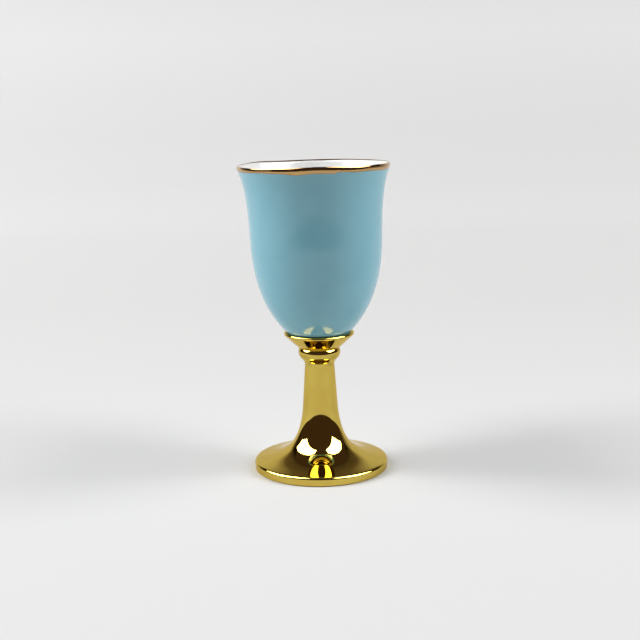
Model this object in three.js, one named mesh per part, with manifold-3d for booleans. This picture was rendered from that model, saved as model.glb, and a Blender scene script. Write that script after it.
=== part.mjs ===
// Stemmed wine cup: a porcelain bowl with a coloured glaze and a gilt lip, cemented into a metal seat
// that one screw clamps, through a beaded ring, to a stem cast in one piece with its round foot.
// Millimetres, +Z up. The origin is the centre of the foot, on the surface that the cup stands on.

import * as THREE from 'three';
import { mergeVertices } from 'three/addons/utils/BufferGeometryUtils.js';
import Module from 'manifold-3d';

// Foot
const FOOT_DIAMETER = 35.2;
const FOOT_EDGE = 2.4; // height of the foot at its edge
const FOOT_SHOULDER = 0.7; // round along the top of the edge
const FOOT_BREAK = 0.25; // bevel along the bottom of the edge
const FOOT_RUN = 5.29; // how far in from the shoulder the foot's slope leads
const FOOT_RISE = 1.12; // how much that slope climbs
const REST_WIDTH = 2.0; // ring under the foot that meets the table
const CORE_DIAMETER = 18.0; // hollow under the foot, where it opens
const CORE_PIN_DIAMETER = 5.2; // hollow inside the stem
const CORE_WEB = 8.5; // metal left between the hollow and the screw's bore

// Stem
const STEM_HEIGHT = 27.6;
const NECK_DIAMETER = 7.78; // stem at its top
const FLARE_DIAMETER = 9.2; // stem where its straight taper ends
const FLARE_HEIGHT = 17.0;
const FLARE_DROP = 13.45; // how far down the taper's line leads into the flare

// Pad under the foot
const PAD_RECESS = 1.0;
const PAD_THICKNESS = 0.8;
const PAD_FIT = 0.3; // room around the pad
const PAD_ROUND = 0.15; // pressed lower edge

// Beaded ring between stem and seat
const COVE_HEIGHT = 3.6; // from the stem's top to the bead's widest line
const BEAD_DIAMETER = 10.98;
const BEAD_CROWN = 1.1; // from the bead's widest line to the crease under the seat
const CREASE_DIAMETER = 10.26;

// Clamp screw, a button-head machine screw
const SCREW_DIAMETER = 3.0;
const SCREW_LENGTH = 12.0; // under the head
const SCREW_TIP = 0.5; // chamfer at its end
const SCREW_FIT = 0.15; // room around the shank
const SCREW_REST = 1.0; // room under its tip
const HEAD_DIAMETER = 5.7;
const HEAD_HEIGHT = 1.65;
const HEAD_ROOM = 0.4; // room around and above the head
const SOCKET_WIDTH = 2.0; // hexagon, across its flats
const SOCKET_DEPTH = 1.04;

// Seat
const SEAT_FLOOR = 1.7; // metal under the screw's head
const SEAT_GAP = 0.5; // from the bowl's base to the inside of the rim
const RIM_WALL = 0.9;
const RIM_COVER = 0.55; // rim's top above the bowl's base
const RIM_TURN = 55; // degrees of the rim's round below its widest line
const SEAT_SPREAD = 1.65; // lead of the underside's curve out from the crease
const SEAT_RISE = 1.39; // and up from it

// Cement
const GLUE = 0.3;

// Bowl
const BOWL_HEIGHT = 43.95; // from its base to the top of the lip
const BOWL_FLOOR = 3.2; // inside depth stops this far above the base
const WALL = 1.8; // side wall with its glaze
const FOOT_RING_WALL = 1.2;
const BASE_DIAMETER = 15.5;
const BASE_SPREAD = 6.0; // lead of the outside curve out from the base
const BASE_RISE = 6.38; // and up from it
const FLOOR_SPREAD = 9.6; // lead of the inside curve out from the floor's middle
const BELLY_DIAMETER = 34.1;
const BELLY_HEIGHT = 25.95; // where the belly passes into the straight upper wall
const BELLY_DRAFT = 0.02; // spread of that wall for each millimetre of height
const BELLY_DROP = 13.7; // lead of the wall's line down into the belly
const BELLY_RISE = 6.9; // and up towards the lip
const LIP_DIAMETER = 39.0; // over the gilding
const LIP_WALL = 1.0;
const LIP_LEAN = 1.75; // outward lean of the flare at the lip
const LIP_RUN = 3.6; // over this height
const GLAZE = 0.35;
const GILT = 0.25;
const GILT_SKIRT = 0.6; // gilt band below the lip's round
const GILT_PROUD = 0.2; // swell of the gilt band beyond the glaze

// Fineness of the turned shapes
const TURN_STEPS = 36;
const BEND_STEPS = 7;
const ROUND_STEPS = 6;

// Sizes that follow from those
const footRadius = FOOT_DIAMETER / 2;
const neckRadius = NECK_DIAMETER / 2;
const flareRadius = FLARE_DIAMETER / 2;
const taper = (flareRadius - neckRadius) / (STEM_HEIGHT - FLARE_HEIGHT);
const creaseRadius = CREASE_DIAMETER / 2;
const recessRadius = footRadius - REST_WIDTH;
const boreRadius = SCREW_DIAMETER / 2 + SCREW_FIT;
const knopHeight = COVE_HEIGHT + BEAD_CROWN;
const seatLevel = STEM_HEIGHT + knopHeight;
const baseRadius = BASE_DIAMETER / 2;
const baseLevel = SEAT_FLOOR + HEAD_HEIGHT + HEAD_ROOM; // of the bowl, above the seat's underside
const ringHeight = baseLevel - SEAT_FLOOR - GLUE;
const ringInner = HEAD_DIAMETER / 2 + HEAD_ROOM;
const ringOuter = ringInner + FOOT_RING_WALL;
const wellRadius = ringOuter + GLUE;
const rimInner = baseRadius + SEAT_GAP;
const rimRound = RIM_WALL / 2;
const rimCentre = at(rimInner + rimRound, baseLevel + RIM_COVER - rimRound);
const lipRound = LIP_WALL / 2;
const giltRound = lipRound + GILT;
const lipCentre = at(LIP_DIAMETER / 2 - giltRound, BOWL_HEIGHT - giltRound);

// A point of an outline: radius, then height.
function at(radius, height) {
  return new THREE.Vector2(radius, height);
}

// Points along a cubic curve.
function bend(start, startLead, endLead, end) {
  return new THREE.CubicBezierCurve(start, startLead, endLead, end).getPoints(BEND_STEPS);
}

// Points along an arc, from one angle to another in degrees, 0 pointing out and 90 up.
function round(centre, radius, from, to) {
  const start = THREE.MathUtils.degToRad(from);
  const end = THREE.MathUtils.degToRad(to);
  const arc = new THREE.EllipseCurve(centre.x, centre.y, radius, radius, start, end, to < from);
  return arc.getPoints(ROUND_STEPS);
}

// One outline from several runs of points, without the points that two runs share.
function outline(...runs) {
  const points = runs.flat();
  return points.filter((point, i) => i === 0 || point.distanceTo(points[i - 1]) > Number.EPSILON);
}

// A closed outline that does not touch the axis.
function loop(...runs) {
  const points = outline(...runs);
  return [...points, points[0].clone()];
}

// A solid of revolution about Z. Its outline runs anticlockwise: out along the bottom, up, and back in.
function turned(points) {
  return new THREE.LatheGeometry(points, TURN_STEPS).rotateX(Math.PI / 2);
}

function piece(name, geometry, color, roughness, metalness) {
  const material = new THREE.MeshStandardMaterial({ color, roughness, metalness });
  const mesh = new THREE.Mesh(geometry, material);
  mesh.name = name;
  return mesh;
}

// Pieces that share one level, measured from the level of the group around them.
function level(height, ...pieces) {
  const group = new THREE.Group();
  group.position.z = height;
  group.add(...pieces);
  return group;
}

// The stem and foot: bored from above for the screw, cored from below, recessed for the pad.
function stemGeometry() {
  const flareStart = at(flareRadius, FLARE_HEIGHT);
  const flareLead = at(flareRadius + taper * FLARE_DROP, FLARE_HEIGHT - FLARE_DROP);
  const slope = THREE.MathUtils.radToDeg(Math.atan2(FOOT_RISE, FOOT_RUN));
  const shoulderCentre = at(footRadius - FOOT_SHOULDER, FOOT_EDGE - FOOT_SHOULDER);
  const shoulder = round(shoulderCentre, FOOT_SHOULDER, 0, 90 - slope);
  const footTop = shoulder.at(-1);
  const footLead = at(footTop.x - FOOT_RUN, footTop.y + FOOT_RISE);
  const screwReach = SCREW_LENGTH - SEAT_FLOOR - knopHeight;
  const boreFloor = STEM_HEIGHT - screwReach - SCREW_REST;
  const pinRadius = CORE_PIN_DIAMETER / 2;
  const pinCentre = at(0, boreFloor - CORE_WEB - pinRadius);
  const coreMouth = at(CORE_DIAMETER / 2, PAD_RECESS);
  const coreCorner = at(pinRadius, PAD_RECESS);
  return turned(outline(
    round(pinCentre, pinRadius, 90, 0),
    bend(at(pinRadius, pinCentre.y), coreCorner, coreCorner, coreMouth),
    [at(recessRadius, PAD_RECESS), at(recessRadius, 0)],
    [at(footRadius - FOOT_BREAK, 0), at(footRadius, FOOT_BREAK)],
    shoulder,
    bend(footTop, footLead, flareLead, flareStart),
    [at(neckRadius, STEM_HEIGHT), at(boreRadius, STEM_HEIGHT)],
    [at(boreRadius, boreFloor), at(0, boreFloor)],
  ));
}

// The pad: a disc against the top of its recess, its lower edge pressed round.
function padGeometry() {
  const radius = recessRadius - PAD_FIT;
  const bottom = PAD_RECESS - PAD_THICKNESS;
  return turned(outline(
    [at(0, bottom)],
    round(at(radius - PAD_ROUND, bottom + PAD_ROUND), PAD_ROUND, -90, 0),
    [at(radius, PAD_RECESS), at(0, PAD_RECESS)],
  ));
}

// The ring: a cove that carries on the stem's taper, then a bead whose arc leans in to the crease.
function knopGeometry() {
  const bead = at(BEAD_DIAMETER / 2, COVE_HEIGHT);
  const coveLead = at(neckRadius - taper * COVE_HEIGHT / 2, COVE_HEIGHT / 2);
  const lean = bead.x - creaseRadius;
  const crownRadius = (BEAD_CROWN ** 2 + lean ** 2) / (2 * lean);
  const crownTurn = THREE.MathUtils.radToDeg(Math.asin(BEAD_CROWN / crownRadius));
  const crown = round(at(bead.x - crownRadius, COVE_HEIGHT), crownRadius, 0, crownTurn);
  return turned(loop(
    [at(boreRadius, 0)],
    bend(at(neckRadius, 0), coveLead, at(bead.x, COVE_HEIGHT / 2), bead),
    crown.slice(1, -1),
    [at(creaseRadius, knopHeight), at(boreRadius, knopHeight)],
  ));
}

// The seat: a dish with a full-round rim, a flat shelf, and a well for the bowl's foot ring.
function seatGeometry() {
  const shelf = baseLevel - GLUE;
  const crease = at(creaseRadius, 0);
  const creaseLead = at(creaseRadius + SEAT_SPREAD, SEAT_RISE);
  const rim = round(rimCentre, rimRound, -RIM_TURN, 180);
  return turned(loop(
    [at(boreRadius, 0)],
    bend(crease, creaseLead, creaseLead, rim[0]),
    rim,
    [at(baseRadius, shelf), at(wellRadius, shelf)],
    [at(wellRadius, SEAT_FLOOR), at(boreRadius, SEAT_FLOOR)],
  ));
}

// The screw: a domed head with a hexagon socket, its underside at height 0, and a plain shank below.
function screwGeometry(wasm) {
  const shankRadius = SCREW_DIAMETER / 2;
  const quarter = round(at(0, 0), 1, 0, 90);
  const dome = quarter.map((point) => at(point.x * HEAD_DIAMETER / 2, point.y * HEAD_HEIGHT));
  const blank = turned(outline(
    [at(0, -SCREW_LENGTH), at(shankRadius - SCREW_TIP, -SCREW_LENGTH)],
    [at(shankRadius, SCREW_TIP - SCREW_LENGTH), at(shankRadius, 0)],
    dome,
  ));
  const cornerRadius = SOCKET_WIDTH / Math.sqrt(3);
  const cutter = new THREE.CylinderGeometry(cornerRadius, cornerRadius, SOCKET_DEPTH * 2, 6);
  cutter.rotateX(Math.PI / 2).translate(0, 0, HEAD_HEIGHT);
  return fromSolid(toSolid(wasm, blank).subtract(toSolid(wasm, cutter)));
}

// Bowl outlines, from its base at height 0.
const glazeBase = at(baseRadius, 0);
const glazeTop = at(LIP_DIAMETER / 2 - GILT_PROUD, lipCentre.y - GILT_SKIRT);

// The wall's curve at one side, passing through the belly at the given radius.
function wallBelow(start, startLead, bellyRadius) {
  const bellyLead = at(bellyRadius - BELLY_DRAFT * BELLY_DROP, BELLY_HEIGHT - BELLY_DROP);
  return bend(start, startLead, bellyLead, at(bellyRadius, BELLY_HEIGHT));
}

function wallAbove(bellyRadius, end) {
  const bellyLead = at(bellyRadius + BELLY_DRAFT * BELLY_RISE, BELLY_HEIGHT + BELLY_RISE);
  return bend(at(bellyRadius, BELLY_HEIGHT), bellyLead, at(end.x - LIP_LEAN, end.y - LIP_RUN), end);
}

const glazeOutside = outline(
  wallBelow(glazeBase, at(baseRadius + BASE_SPREAD, BASE_RISE), BELLY_DIAMETER / 2),
  wallAbove(BELLY_DIAMETER / 2, glazeTop),
);
const bodyOutside = glazeOutside.map((point) => at(point.x - GLAZE, point.y));
const bodyLip = round(lipCentre, lipRound, 0, 180);

// The porcelain: a foot ring below, the lip's round on top, and the inside down to the floor's middle.
function porcelainGeometry() {
  const innerRadius = BELLY_DIAMETER / 2 - WALL;
  const floor = at(0, BOWL_FLOOR);
  const inside = outline(
    wallBelow(floor, at(FLOOR_SPREAD, BOWL_FLOOR), innerRadius),
    wallAbove(innerRadius, bodyLip.at(-1)),
  );
  return turned(outline(
    [at(0, 0), at(ringInner, 0)],
    [at(ringInner, -ringHeight), at(ringOuter, -ringHeight), at(ringOuter, 0)],
    bodyOutside,
    bodyLip,
    inside.reverse(),
  ));
}

function glazeGeometry() {
  return turned(loop([bodyOutside[0]], glazeOutside, bodyOutside.toReversed()));
}

// The gilding: from the glaze's end, over the lip, to just inside it.
function giltGeometry() {
  return turned(loop(
    [bodyOutside.at(-1), glazeTop],
    round(lipCentre, giltRound, 0, 180),
    bodyLip.toReversed(),
  ));
}

// The cement: under the foot ring, up its side, under the base, and out to the rim.
function cementGeometry() {
  return turned(loop(
    [at(ringInner, -ringHeight - GLUE), at(wellRadius, -ringHeight - GLUE)],
    [at(wellRadius, -GLUE), at(baseRadius, -GLUE)],
    [at(rimInner, rimCentre.y - baseLevel), glazeBase],
    [at(ringOuter, 0), at(ringOuter, -ringHeight), at(ringInner, -ringHeight)],
  ));
}

// A closed mesh as a solid that can be cut.
function toSolid(wasm, geometry) {
  geometry.deleteAttribute('normal');
  geometry.deleteAttribute('uv');
  const merged = mergeVertices(geometry);
  return new wasm.Manifold(new wasm.Mesh({
    numProp: 3,
    vertProperties: merged.attributes.position.array,
    triVerts: new Uint32Array(merged.index.array),
  }));
}

function fromSolid(solid) {
  const mesh = solid.getMesh();
  const geometry = new THREE.BufferGeometry();
  geometry.setAttribute('position', new THREE.BufferAttribute(mesh.vertProperties, 3));
  geometry.setIndex(new THREE.BufferAttribute(mesh.triVerts, 1));
  geometry.computeVertexNormals();
  return geometry;
}

const wasm = await Module();
wasm.setup();

const BLUE = 0x81b5c4;
const WHITE = 0xf2f1ee;
const GOLD = 0xd1b857;
const LUSTRE = 0xb08a4e;
const RESIN = 0xd8cfae;
const STEEL = 0x9ea1a4;
const FELT = 0x2c2b2a;

const bowl = level(
  baseLevel,
  piece('adhesive_bed', cementGeometry(), RESIN, 0.4, 0),
  piece('porcelain_bowl', porcelainGeometry(), WHITE, 0.1, 0),
  piece('blue_glaze', glazeGeometry(), BLUE, 0.08, 0),
  piece('gilt_lip', giltGeometry(), LUSTRE, 0.15, 1),
);

const head = level(
  seatLevel,
  piece('bowl_seat', seatGeometry(), GOLD, 0.06, 1),
  level(SEAT_FLOOR, piece('clamp_screw', screwGeometry(wasm), STEEL, 0.3, 1)),
  bowl,
);

const cup = level(
  0,
  piece('base_pad', padGeometry(), FELT, 0.95, 0),
  piece('stem', stemGeometry(), GOLD, 0.06, 1),
  level(STEM_HEIGHT, piece('knop_ring', knopGeometry(), GOLD, 0.06, 1)),
  head,
);

export default cup;
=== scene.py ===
"""Looks of a small stemmed wine cup, built round its construction model.

Fields and outlines are in millimetres, and meshes are written in metres. An outline is a list of
(radius, height) points. Angles round the cup are degrees from the front, growing to the right.
"""

import logging
import math
from dataclasses import dataclass, field
from enum import Enum

import bpy
import numpy as np
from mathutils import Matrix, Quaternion, Vector
from numpy.typing import NDArray


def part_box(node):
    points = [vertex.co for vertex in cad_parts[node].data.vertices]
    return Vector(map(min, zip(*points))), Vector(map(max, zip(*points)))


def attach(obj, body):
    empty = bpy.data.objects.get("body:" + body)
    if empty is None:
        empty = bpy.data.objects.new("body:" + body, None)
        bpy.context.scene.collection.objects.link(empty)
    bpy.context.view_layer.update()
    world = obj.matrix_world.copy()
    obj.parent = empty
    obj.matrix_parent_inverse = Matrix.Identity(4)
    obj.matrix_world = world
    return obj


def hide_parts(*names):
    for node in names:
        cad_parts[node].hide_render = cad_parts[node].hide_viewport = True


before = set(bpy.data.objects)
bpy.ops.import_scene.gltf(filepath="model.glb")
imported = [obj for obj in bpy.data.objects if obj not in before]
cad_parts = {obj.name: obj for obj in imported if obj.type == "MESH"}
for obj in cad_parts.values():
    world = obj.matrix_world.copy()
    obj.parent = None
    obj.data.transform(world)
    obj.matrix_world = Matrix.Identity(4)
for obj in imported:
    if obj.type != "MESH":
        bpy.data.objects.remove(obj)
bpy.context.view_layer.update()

Floats = NDArray[np.float64]
Point = tuple[float, float]
Colour = tuple[float, float, float]
Axes = tuple[float, float, float]

log = logging.getLogger("wine_cup")

MM = 0.001
COLUMNS = 240  # facets round a turned surface
BEND_STEPS = 40  # stretches along a curve
ARC_STEPS = 20  # stretches along an arc
FULL_TURN = 360.0  # degrees
FACE_TURN = 60.0  # degrees between the corners of a hexagon
CREASE_ANGLE = 35.0  # degrees; sharper edges stay sharp in the shading
SAME_PLACE = 1e-6  # millimetres; points that lie nearer are one
UNCHANGED: Axes = (1.0, 1.0, 1.0)  # a factor that changes nothing
SPECK_CORE = 0.5  # share of a speck's radius inside which it is full
GLAZE_IOR = 1.52  # how strongly a glaze bends light
NONE_YET = 0.5  # a count of bounces below this is none
MORE_THAN_ONE = 1.5  # a count of bounces above this is two or more
BODY = "root"
GILT_COVER = "gilt_cover"  # how fully the gilding covers, kept at each point of its mesh


class Slot(Enum):
    """The record's material slots."""

    PORCELAIN = "white_porcelain"
    GLAZE = "blue_glaze"
    GILT = "gilt_lustre"
    CEMENT = "cement"
    GOLD = "gold_plate"
    STEEL = "screw_steel"
    FELT = "pad_felt"


class Closure(Enum):
    """How a turned outline closes."""

    RING = "the last point leads back to the first"
    AXIS = "the first and the last point lie on the axis"


# Outlines


def bend(start: Point, start_lead: Point, end_lead: Point, end: Point) -> Floats:
    """Points on a cubic curve, the sum of four corners weighted by the powers of t and 1 - t.

    Args:
        start: First point.
        start_lead: Corner that the curve leaves towards.
        end_lead: Corner that the curve arrives from.
        end: Last point.

    Returns:
        The points, one in a row.
    """
    t = np.linspace(0.0, 1.0, BEND_STEPS + 1)[:, None]
    weights = np.hstack([(1 - t) ** 3, 3 * t * (1 - t) ** 2, 3 * t**2 * (1 - t), t**3])
    return weights @ np.array([start, start_lead, end_lead, end], dtype=float)


def arc(centre: Point, radius: float, first: float, last: float) -> Floats:
    """Points on a circle: the centre plus the radius times the cosine and sine of the angle.

    Args:
        centre: Middle of the circle.
        radius: Its radius.
        first: Angle of the first point in degrees, 0 pointing out and 90 up.
        last: Angle of the last point.

    Returns:
        The points, one in a row.
    """
    angle = np.radians(np.linspace(first, last, ARC_STEPS + 1))
    return np.array(centre) + radius * np.column_stack([np.cos(angle), np.sin(angle)])


def pointing(angle: float) -> Floats:
    """A way one millimetre long, 0 degrees pointing out and 90 up."""
    return np.array([math.cos(math.radians(angle)), math.sin(math.radians(angle))])


def inset(points: Floats, depth: float) -> Floats:
    """Moves the points of an outline into the body, square to the way that the outline runs.

    Args:
        points: The points, one in a row.
        depth: How far they move.

    Returns:
        The moved points.
    """
    along = np.gradient(points, axis=0)
    along /= np.linalg.norm(along, axis=1, keepdims=True)
    return points - depth * np.column_stack([along[:, 1], -along[:, 0]])


def outline(*runs: Floats | list[Point]) -> Floats:
    """Joins runs of points and leaves out a point that repeats the one before it.

    Args:
        runs: Runs of points, in order.

    Returns:
        All the points, one in a row.
    """
    points = np.vstack([np.asarray(run, dtype=float) for run in runs])
    apart = np.linalg.norm(np.diff(points, axis=0), axis=1) > SAME_PLACE
    return points[np.concatenate([[True], apart])]


def ease(value: Floats, low: float, high: float) -> Floats:
    """Climbs from 0 at low to 1 at high as 3t^2 - 2t^3."""
    t = np.clip((value - low) / (high - low), 0.0, 1.0)
    return t * t * (3 - 2 * t)


def round_angles() -> Floats:
    """The columns' angles round the cup, in degrees from the front."""
    return np.arange(COLUMNS) * (FULL_TURN / COLUMNS)


def centred(angle: Floats, turn: float = FULL_TURN) -> Floats:
    """The angles less as many whole turns as bring them within half a turn of 0."""
    return (angle + turn / 2) % turn - turn / 2


@dataclass(frozen=True)
class Swell:
    """A soft local change round the cup.

    Attributes:
        place: Angle of its middle, in degrees from the front.
        spread: Angle at which it has fallen to a third.
        size: Height in millimetres.
    """

    place: float
    spread: float
    size: float

    def along(self, angle: Floats) -> Floats:
        """The size times exp(-(angle from the place / spread) squared)."""
        return self.size * np.exp(-((centred(angle - self.place) / self.spread) ** 2))


@dataclass(frozen=True)
class Wave:
    """An even wave round the cup.

    Attributes:
        turns: Number of crests.
        lead: Angle of one crest, in degrees from the front.
        size: Height in millimetres.
    """

    turns: int
    lead: float
    size: float

    def along(self, angle: Floats) -> Floats:
        """The size times the cosine of the turned angle."""
        return self.size * np.cos(np.radians(self.turns * (angle - self.lead)))


@dataclass(frozen=True)
class Stroke:
    """An even change over a stretch round the cup, as one brush stroke leaves it.

    Attributes:
        first: Angle where it is whole, in degrees from the front.
        last: Angle where it starts to end.
        lead_in: Angle over which it comes in.
        lead_out: Angle over which it goes out.
        size: Height in millimetres.
    """

    first: float
    last: float
    lead_in: float
    lead_out: float
    size: float

    def along(self, angle: Floats) -> Floats:
        """The size times one climb up to the first angle and one fall after the last.

        Args:
            angle: Angles round the cup.

        Returns:
            The change at each of them.
        """
        turned = centred(angle)
        climb = ease(turned, self.first - self.lead_in, self.first)
        return self.size * climb * (1.0 - ease(turned, self.last, self.last + self.lead_out))


Changes = tuple[Swell | Wave | Stroke, ...]


def summed(changes: Changes, angle: Floats) -> Floats:
    """All the changes at each angle, added up."""
    return np.sum([change.along(angle) for change in changes], axis=0)


# Meshes


def grid_faces(index: NDArray[np.int64], wrap: bool) -> NDArray[np.int64]:
    """Four-cornered faces between neighbouring rows and columns of a grid of points.

    Args:
        index: Number of the point at each row and column.
        wrap: Whether the last column leads back to the first.

    Returns:
        The corners of the faces, one face in a row.
    """
    near = index if wrap else index[:, :-1]
    far = np.roll(index, -1, axis=1) if wrap else index[:, 1:]
    return np.stack([near[:-1], far[:-1], far[1:], near[1:]], axis=-1).reshape(-1, 4)


@dataclass(frozen=True)
class TurnedSurface:
    """A closed surface carried round the axis: x = r sin a, y = -r cos a, z = height.

    Attributes:
        radius: Radius at each point of the outline (rows) and each angle (columns).
        height: Height at the same places.
        closure: How the outline closes. It runs out along the bottom, up, and back in.
    """

    radius: Floats
    height: Floats
    closure: Closure

    @classmethod
    def plain(cls, points: Floats, closure: Closure) -> "TurnedSurface":
        """The surface of one outline that is the same all round."""
        level = np.ones(COLUMNS)
        return cls(points[:, :1] * level, points[:, 1:] * level, closure)

    def mesh(self, name: str) -> bpy.types.Mesh:
        """Makes the mesh, in metres, with one point where the outline meets the axis.

        Args:
            name: Name of the mesh.

        Returns:
            The mesh, smooth but for its creases.
        """
        angle = np.radians(round_angles())
        places = np.stack(
            [self.radius * np.sin(angle), -self.radius * np.cos(angle), self.height], axis=-1
        )
        if self.closure is Closure.RING:
            index = np.arange(places[..., 0].size).reshape(places.shape[:2])
            faces = grid_faces(np.vstack([index, index[:1]]), wrap=True).tolist()
            points = places.reshape(-1, 3)
        else:
            middle = places[1:-1]
            index = 1 + np.arange(middle[..., 0].size).reshape(middle.shape[:2])
            last = index[-1, -1] + 1
            onward = np.roll(index, -1, axis=1)
            first_fan = np.column_stack([np.zeros(COLUMNS, int), onward[0], index[0]])
            last_fan = np.column_stack([index[-1], onward[-1], np.full(COLUMNS, last)])
            faces = grid_faces(index, wrap=True).tolist() + first_fan.tolist() + last_fan.tolist()
            points = np.vstack([places[0, :1], middle.reshape(-1, 3), places[-1, :1]])
        return smooth_mesh(name, points * MM, faces)


def smooth_mesh(name: str, points: Floats, faces: list[list[int]]) -> bpy.types.Mesh:
    """Makes a mesh whose shading is smooth but for its creases.

    Args:
        name: Name of the mesh.
        points: Places in metres, one in a row.
        faces: Corners of each face.

    Returns:
        The mesh.
    """
    mesh = bpy.data.meshes.new(name)
    mesh.from_pydata(points.tolist(), [], faces)
    mesh.shade_smooth()
    mesh.set_sharp_from_angle(angle=math.radians(CREASE_ANGLE))
    mesh.update()
    return mesh


def linked(name: str, content: bpy.types.ID) -> bpy.types.Object:
    """Puts an object in the scene, at the origin.

    Args:
        name: Its name.
        content: The mesh, lamp or camera that it holds.

    Returns:
        The object.
    """
    thing = bpy.data.objects.new(name, content)
    bpy.context.scene.collection.objects.link(thing)
    return thing


def placed(mesh: bpy.types.Mesh, material: bpy.types.Material) -> bpy.types.Object:
    """Puts a mesh in the scene at the origin, with its material."""
    mesh.materials.append(material)
    return linked(mesh.name, mesh)


def piece(mesh: bpy.types.Mesh, material: bpy.types.Material, node: str) -> bpy.types.Object:
    """Puts a piece of the cup in the scene, on the body, and hides the part of the construction that it
    replaces.

    Args:
        mesh: The finished mesh, which names the piece.
        material: Its finish.
        node: Construction node that it replaces.

    Returns:
        The piece.
    """
    thing = placed(mesh, material)
    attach(thing, BODY)
    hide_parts(node)
    return thing


# Shader nodes


@dataclass(frozen=True)
class Grain:
    """Soft noise.

    Attributes:
        size: Size of its spots in millimetres.
        detail: How many finer layers it has.
        stretch: Factor on the place along each axis.
        edges: Levels of the noise that become 0 and 1, where it is drawn apart.
    """

    size: float
    detail: float = 2.0
    stretch: Axes = UNCHANGED
    edges: Point | None = None


@dataclass(frozen=True)
class Specks:
    """Small round specks in some cells of a loose grid.

    Attributes:
        spacing: Size of a cell in millimetres.
        size: Radius of a speck in millimetres.
        share: Share of the cells that hold one.
    """

    spacing: float
    size: float
    share: float


class Board:
    """The nodes of one material or of the world."""

    def __init__(self, tree: bpy.types.NodeTree) -> None:
        """Empties the tree and keeps it."""
        tree.nodes.clear()
        self.tree = tree

    def add(self, kind: str, settings: dict | None = None, sockets: dict | None = None) -> bpy.types.Node:
        """Adds a node: first its settings, then the values or links of its sockets.

        Args:
            kind: Blender's type of node.
            settings: Attributes by name; "stops" are a ramp's (place, colour) pairs.
            sockets: Values, links or wrapped values by the socket's name or number.

        Returns:
            The node.
        """
        node = self.tree.nodes.new(kind)
        for name, setting in (settings or {}).items():
            if name == "stops":
                self.set_stops(node.color_ramp, setting)
            else:
                setattr(node, name, setting)
        for name, content in (sockets or {}).items():
            self.feed(node.inputs[name], content)
        return node

    def set_stops(self, ramp: bpy.types.ColorRamp, stops: list[tuple[float, Colour]]) -> None:
        """Gives a ramp its colours.

        Args:
            ramp: The ramp.
            stops: Place and colour of each stop, in order.
        """
        while len(ramp.elements) < len(stops):
            ramp.elements.new(1.0)
        for element, (place, colour) in zip(ramp.elements, stops):
            element.position = place
            element.color = (*colour, 1.0)

    def feed(self, socket: bpy.types.NodeSocket, content: object) -> None:
        """Links a socket to another, or sets its own value.

        Args:
            socket: The socket.
            content: A wrapped value or a socket to link, or else a plain value.
        """
        if isinstance(content, Value):
            self.tree.links.new(content.socket, socket)
        elif isinstance(content, bpy.types.NodeSocket):
            self.tree.links.new(content, socket)
        elif socket.type == "RGBA":
            socket.default_value = (*content, 1.0)
        else:
            socket.default_value = content

    def place(self, stretch: Axes = UNCHANGED) -> bpy.types.NodeSocket:
        """Object coordinates, stretched by a factor along each axis."""
        here = self.add("ShaderNodeTexCoord").outputs["Object"]
        return self.add("ShaderNodeMapping", None, {"Vector": here, "Scale": stretch}).outputs["Vector"]

    def axis(self, name: str) -> "Value":
        """Distance from the origin along X, Y or Z, in millimetres."""
        here = self.add("ShaderNodeTexCoord").outputs["Object"]
        return Value(self, self.add("ShaderNodeSeparateXYZ", None, {0: here}).outputs[name]) / MM

    def height(self) -> "Value":
        """Height above the table, in millimetres."""
        return self.axis("Z")

    def along(self, name: str) -> "Value":
        """A number that the mesh holds at each of its points."""
        return Value(self, self.add("ShaderNodeAttribute", {"attribute_name": name}).outputs["Fac"])

    def ray(self, question: str) -> "Value":
        """What the Light Path node says of the ray."""
        return Value(self, self.add("ShaderNodeLightPath").outputs[question])

    def noise(self, grain: Grain) -> "Value":
        """Soft noise from 0 to 1.

        Args:
            grain: Its sizes.

        Returns:
            The noise.
        """
        sockets = {
            "Vector": self.place(grain.stretch), "Scale": 1.0 / (grain.size * MM), "Detail": grain.detail,
        }
        soft = Value(self, self.add("ShaderNodeTexNoise", None, sockets).outputs["Fac"])
        return soft.step(*grain.edges) if grain.edges else soft

    def specks(self, specks: Specks) -> "Value":
        """Specks, 1 inside and 0 outside.

        Args:
            specks: Their sizes.

        Returns:
            The specks.
        """
        sockets = {"Vector": self.place(), "Scale": 1.0 / (specks.spacing * MM)}
        cells = self.add("ShaderNodeTexVoronoi", None, sockets)
        drawn = self.add("ShaderNodeSeparateColor", None, {0: cells.outputs["Color"]}).outputs[0]
        radius = specks.size / specks.spacing
        near = Value(self, cells.outputs["Distance"]).step(radius, SPECK_CORE * radius)
        return near * Value(self, drawn).math("LESS_THAN", specks.share)

    def mix(self, factor: "Value", first: object, second: object) -> bpy.types.NodeSocket:
        """A colour that goes from the first at 0 to the second at 1."""
        node = self.add("ShaderNodeMix", {"data_type": "RGBA"}, {0: factor, 6: first, 7: second})
        return node.outputs[2]

    def times(self, first: object, second: object) -> bpy.types.NodeSocket:
        """Two colours multiplied."""
        settings = {"data_type": "RGBA", "blend_type": "MULTIPLY"}
        return self.add("ShaderNodeMix", settings, {0: 1.0, 6: first, 7: second}).outputs[2]

    def bump(self, height: "Value", depth: float) -> bpy.types.NodeSocket:
        """A normal for relief that is depth millimetres deep where the height goes from 0 to 1."""
        sockets = {"Height": height, "Distance": depth * MM, "Strength": 1.0}
        return self.add("ShaderNodeBump", None, sockets).outputs["Normal"]

    def surface(self, sockets: dict) -> None:
        """Ends the tree with one shader that has the given sockets."""
        shader = self.add("ShaderNodeBsdfPrincipled", None, sockets)
        self.add("ShaderNodeOutputMaterial", None, {"Surface": shader.outputs[0]})


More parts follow.
